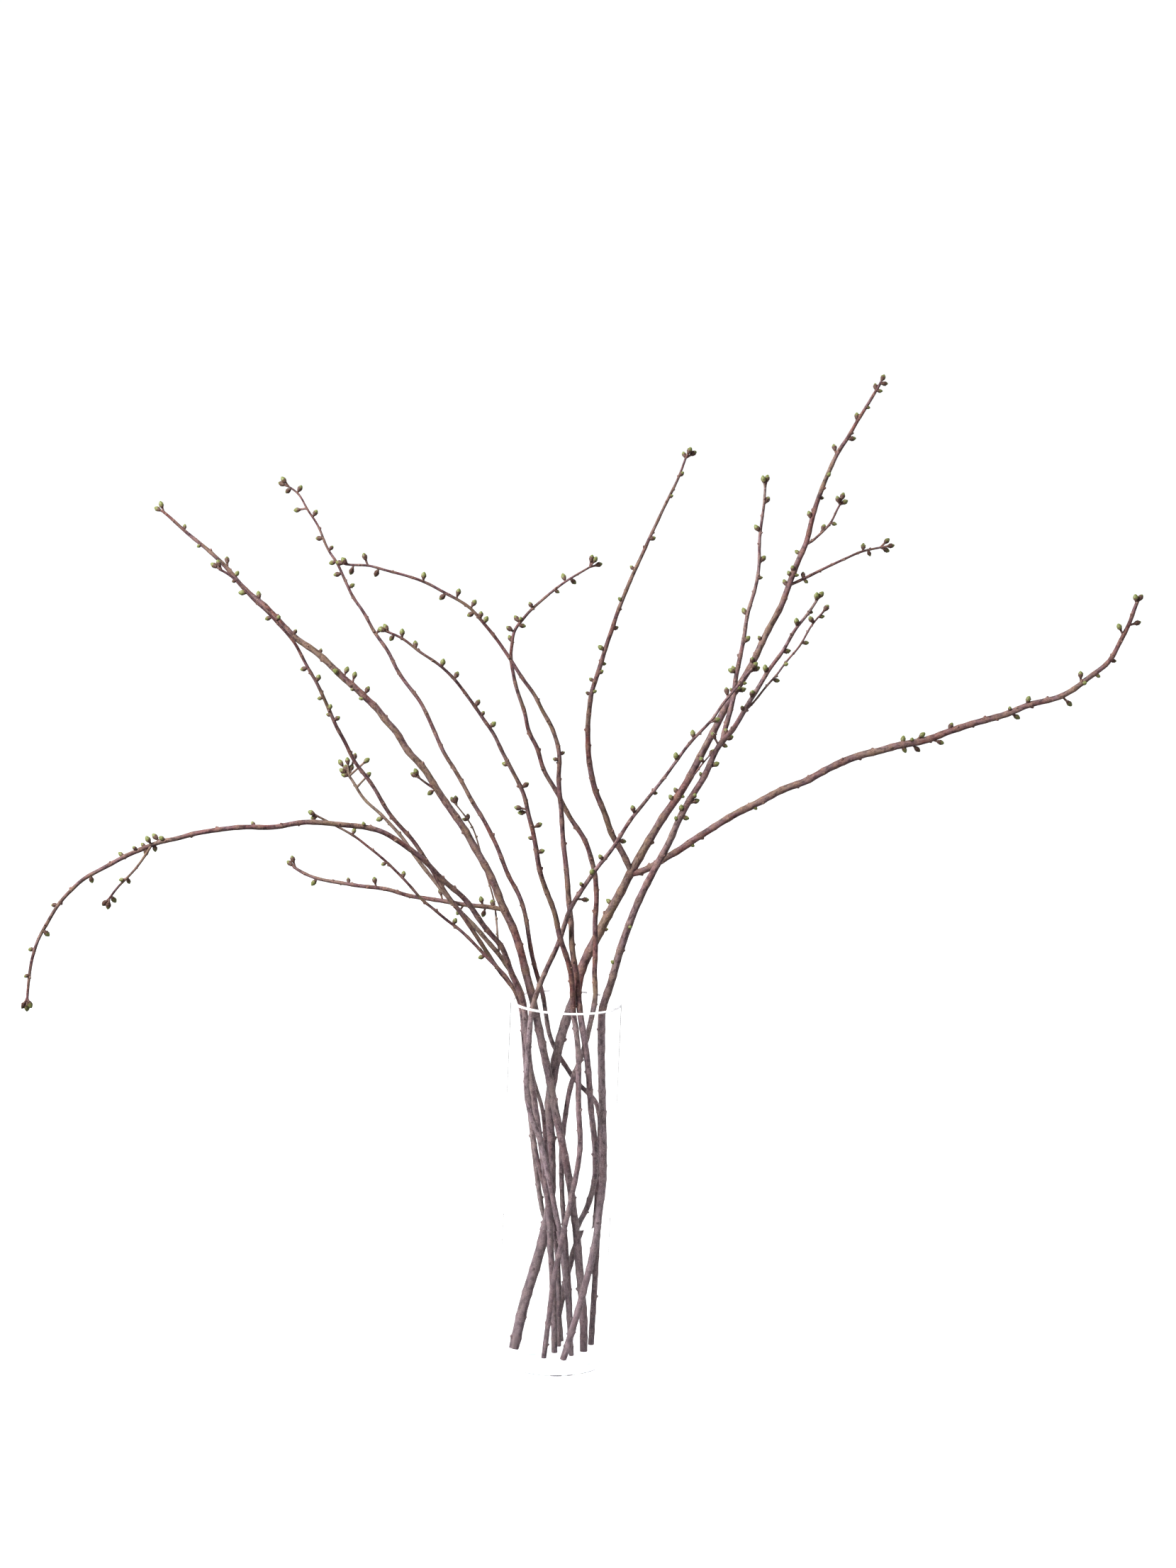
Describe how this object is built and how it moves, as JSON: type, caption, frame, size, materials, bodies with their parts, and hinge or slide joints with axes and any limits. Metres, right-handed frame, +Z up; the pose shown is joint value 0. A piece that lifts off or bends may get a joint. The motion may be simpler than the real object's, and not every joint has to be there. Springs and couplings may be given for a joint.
{
  "type": "cherry blossom branches in a glass vase",
  "caption": "Cut cherry branches in swelling bud, fanned out in a tall clear glass cylinder vase with water, for decorating a floor, shelf or table",
  "frame": {"origin": "centre of the vase's flat underside, where it stands", "axes": "+Z up along the vase's axis, +X to the viewer's right, along the widest spread of the branches, +Y away from the viewer"},
  "size_m": [1.1375, 0.3171, 1.0865],
  "materials": {
    "clear_glass": "polished clear glass",
    "still_water": "clear still water",
    "red_brown_bark": "young reddish-brown cherry bark with a grey bloom, ring scars and scaly buds",
    "pink_grey_bark": "greyish-pink cherry bark with a silvery bloom",
    "tan_grey_bark": "tan-grey knobby cherry bark"
  },
  "bodies": {
    "root": {"vase": "clear_glass", "water": "still_water", "branch_great": "red_brown_bark", "branch_right_forked": "pink_grey_bark", "branch_left_tall": "red_brown_bark", "branch_left_arch": "red_brown_bark", "branch_left_slender": "red_brown_bark", "branch_left_brush": "tan_grey_bark", "branch_left_low": "red_brown_bark", "branch_left_upright": "red_brown_bark", "branch_mid_hooked": "red_brown_bark", "branch_mid_leaning": "red_brown_bark", "branch_mid_wavy": "red_brown_bark", "branch_crossing": "pink_grey_bark"}
  },
  "joints": []
}
